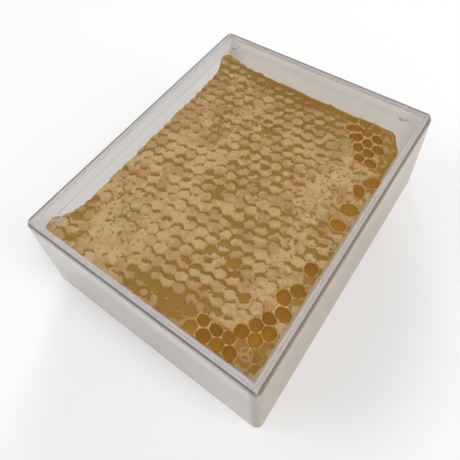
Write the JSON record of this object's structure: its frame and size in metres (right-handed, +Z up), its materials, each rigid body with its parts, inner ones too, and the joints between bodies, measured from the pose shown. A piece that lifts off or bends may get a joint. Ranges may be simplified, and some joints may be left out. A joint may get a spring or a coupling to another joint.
{
  "type": "boxed honeycomb piece",
  "caption": "Cut slab of capped comb honey with open cells along one side, shut in a clear plastic box with a plug-in lid and round corner pips.",
  "frame": {"origin": "middle of the box's underside, on the surface it stands on", "axes": "+Z up through the lid, +Y along the box's long side, +X along its short side"},
  "size_m": [0.1054, 0.1332, 0.047],
  "materials": {
    "clear_plastic": "clear moulded plastic, glossy, lightly smeared",
    "comb": "beeswax cappings over honey, satin, wet in the open cells"
  },
  "bodies": {
    "root": {"box_base": "clear_plastic", "box_lid": "clear_plastic", "comb": "comb"}
  },
  "joints": []
}
